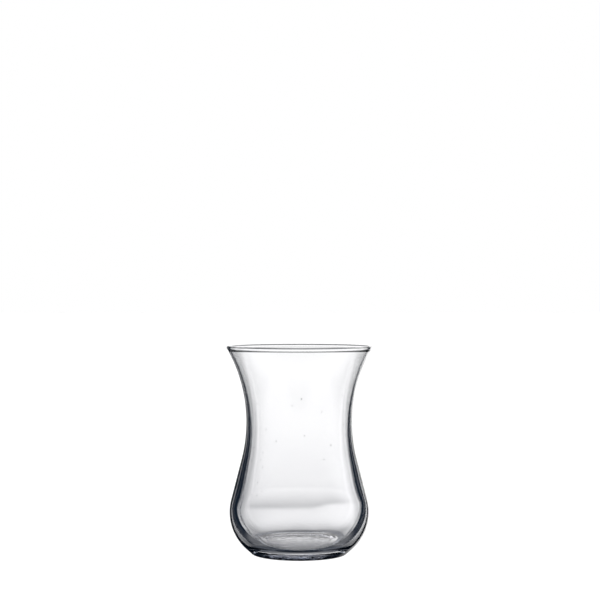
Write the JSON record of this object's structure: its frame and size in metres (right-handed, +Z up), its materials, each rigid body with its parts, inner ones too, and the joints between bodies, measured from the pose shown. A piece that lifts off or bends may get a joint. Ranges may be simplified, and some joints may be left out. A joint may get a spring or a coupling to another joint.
{
  "type": "turkish tea glass",
  "caption": "Empty clear glass with a flared rim, a narrow waist and a round bulge over a small flat foot, for drinking tea.",
  "frame": {"origin": "on the table, under the middle of the foot", "axes": "+Z up along the glass's axis of turning, X and Y in the table's plane"},
  "size_m": [0.0632, 0.0632, 0.09],
  "materials": {
    "glass": "clear fire-polished soda-lime glass, smooth and glossy, faintly cool in its thick parts"
  },
  "bodies": {
    "root": {"glass": "glass"}
  },
  "joints": []
}
